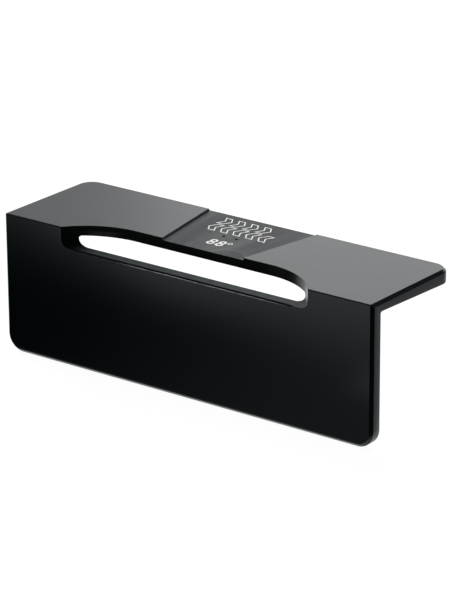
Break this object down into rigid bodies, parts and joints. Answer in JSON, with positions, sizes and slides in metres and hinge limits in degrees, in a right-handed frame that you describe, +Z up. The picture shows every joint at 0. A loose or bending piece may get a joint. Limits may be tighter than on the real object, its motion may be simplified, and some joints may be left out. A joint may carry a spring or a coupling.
{
  "type": "side edge file guide",
  "caption": "Black anodised aluminium angle that holds a file at a set bevel against a ski's side edge, with a sight slot milled through its corner and a tapered clamp seat on top.",
  "frame": {"origin": "under the middle of the part's box, at the level of the front leg's bottom edge", "axes": "+X along the guide, to the right seen from the front; +Y from the front face towards the back edge of the top leg; +Z up, out of the top face"},
  "size_m": [0.1, 0.03, 0.0325],
  "materials": {
    "black_anodised": "satin black anodised, with milled chamfers",
    "dark_enamel": "gloss enamel fill",
    "white_ink": "pad-printed white ink"
  },
  "bodies": {
    "root": {"guide_body": "black_anodised", "index_dots": "dark_enamel"}
  },
  "joints": []
}
